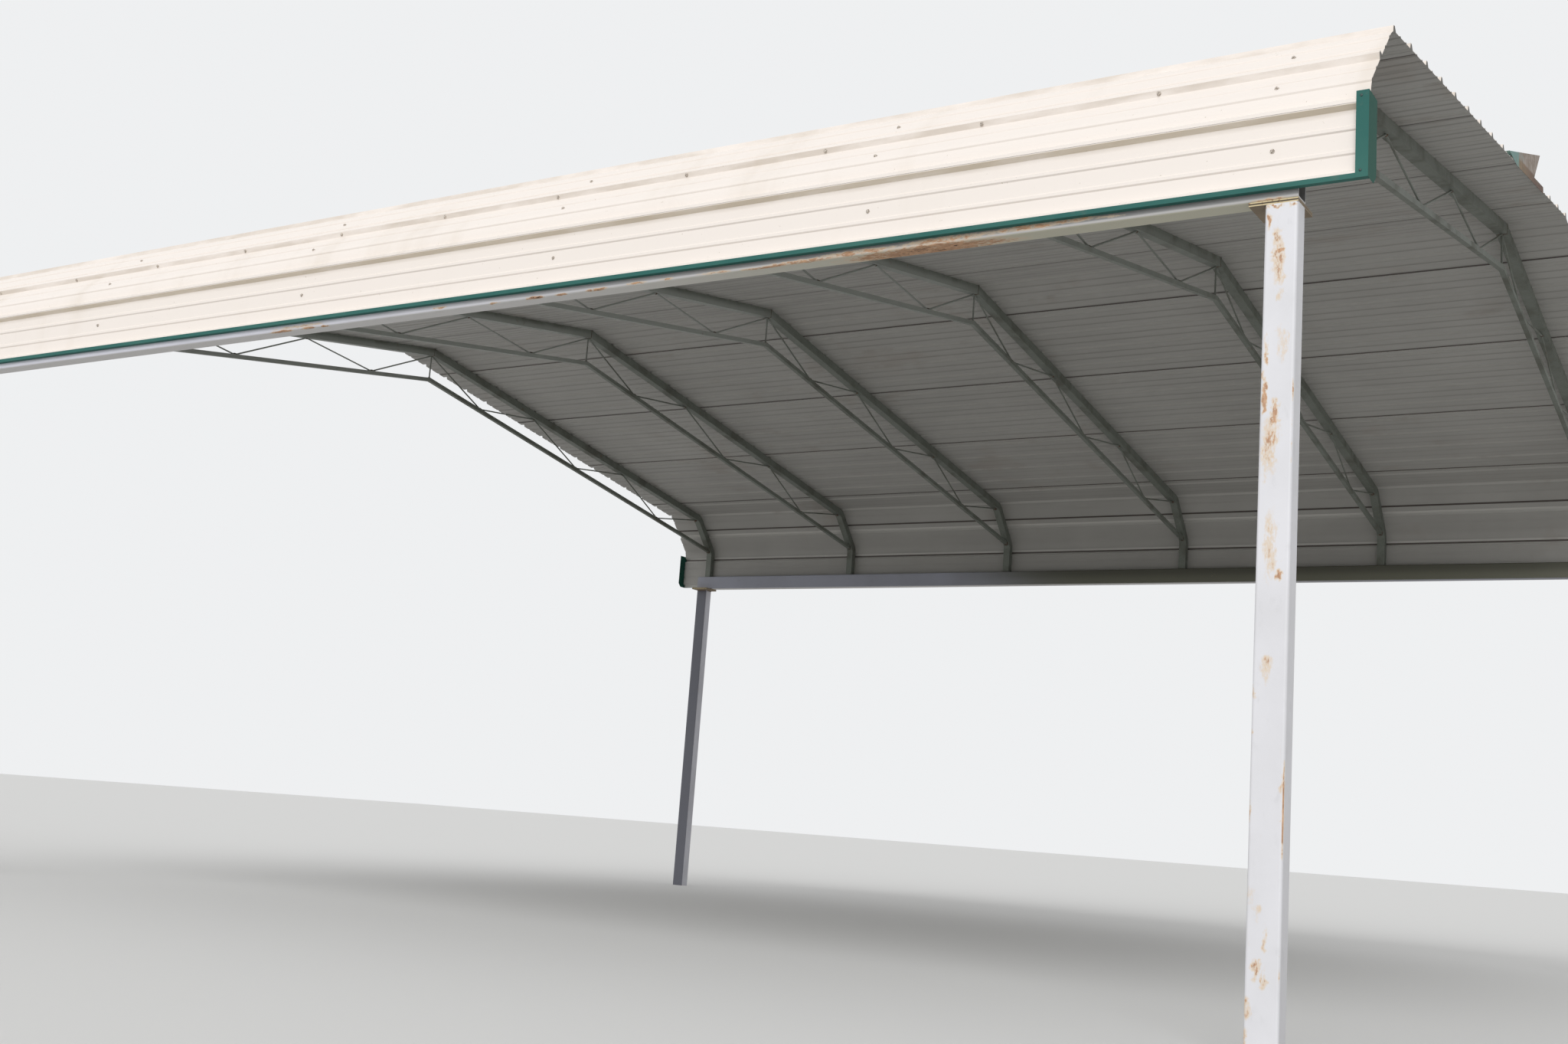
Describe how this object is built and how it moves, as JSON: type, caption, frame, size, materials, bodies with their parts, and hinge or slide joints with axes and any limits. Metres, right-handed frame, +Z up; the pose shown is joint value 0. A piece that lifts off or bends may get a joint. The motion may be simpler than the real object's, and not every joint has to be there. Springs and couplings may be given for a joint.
{
  "type": "open steel carport",
  "caption": "Open steel carport with a ribbed sheet roof on bent lattice trusses, long side beams and corner posts.",
  "frame": {"origin": "ground level under the middle of the roof", "axes": "+X along the ridge towards the open end, +Y across the bay, +Z up"},
  "size_m": [7.7826, 7.3614, 3.77],
  "materials": {
    "white_paint": "worn white paint with rust",
    "galvanised_steel": "dull galvanised with light rust",
    "cream_sheet": "off-white baked paint, weathered",
    "green_trim": "dark green baked paint"
  },
  "bodies": {
    "root": {"beam_far": "white_paint", "beam_near": "white_paint", "beam_plates": "white_paint", "bottom_trim_far": "green_trim", "bottom_trim_near": "green_trim", "end_trim_house_far": "green_trim", "end_trim_house_near": "green_trim", "end_trim_open_far": "green_trim", "end_trim_open_near": "green_trim", "post_cap_plates": "white_paint", "post_house_far": "white_paint", "post_house_near": "white_paint", "post_open_far": "white_paint", "post_open_near": "white_paint", "roof_sheet_far_1": "cream_sheet", "roof_sheet_far_2": "cream_sheet", "roof_sheet_far_3": "cream_sheet", "roof_sheet_far_eave": "cream_sheet", "roof_sheet_near_1": "cream_sheet", "roof_sheet_near_2": "cream_sheet", "roof_sheet_near_3": "cream_sheet", "roof_sheet_near_eave": "cream_sheet", "roof_sheet_ridge": "cream_sheet", "side_panel_far": "cream_sheet", "side_panel_near": "cream_sheet", "trim_remnant": "green_trim", "truss_1_chord": "galvanised_steel", "truss_1_tie": "galvanised_steel", "truss_1_web": "galvanised_steel", "truss_2_chord": "galvanised_steel", "truss_2_tie": "galvanised_steel", "truss_2_web": "galvanised_steel", "truss_3_chord": "galvanised_steel", "truss_3_tie": "galvanised_steel", "truss_3_web": "galvanised_steel", "truss_4_chord": "galvanised_steel", "truss_4_tie": "galvanised_steel", "truss_4_web": "galvanised_steel", "truss_5_chord": "galvanised_steel", "truss_5_tie": "galvanised_steel", "truss_5_web": "galvanised_steel", "truss_6_chord": "galvanised_steel", "truss_6_tie": "galvanised_steel", "truss_6_web": "galvanised_steel"}
  },
  "joints": []
}
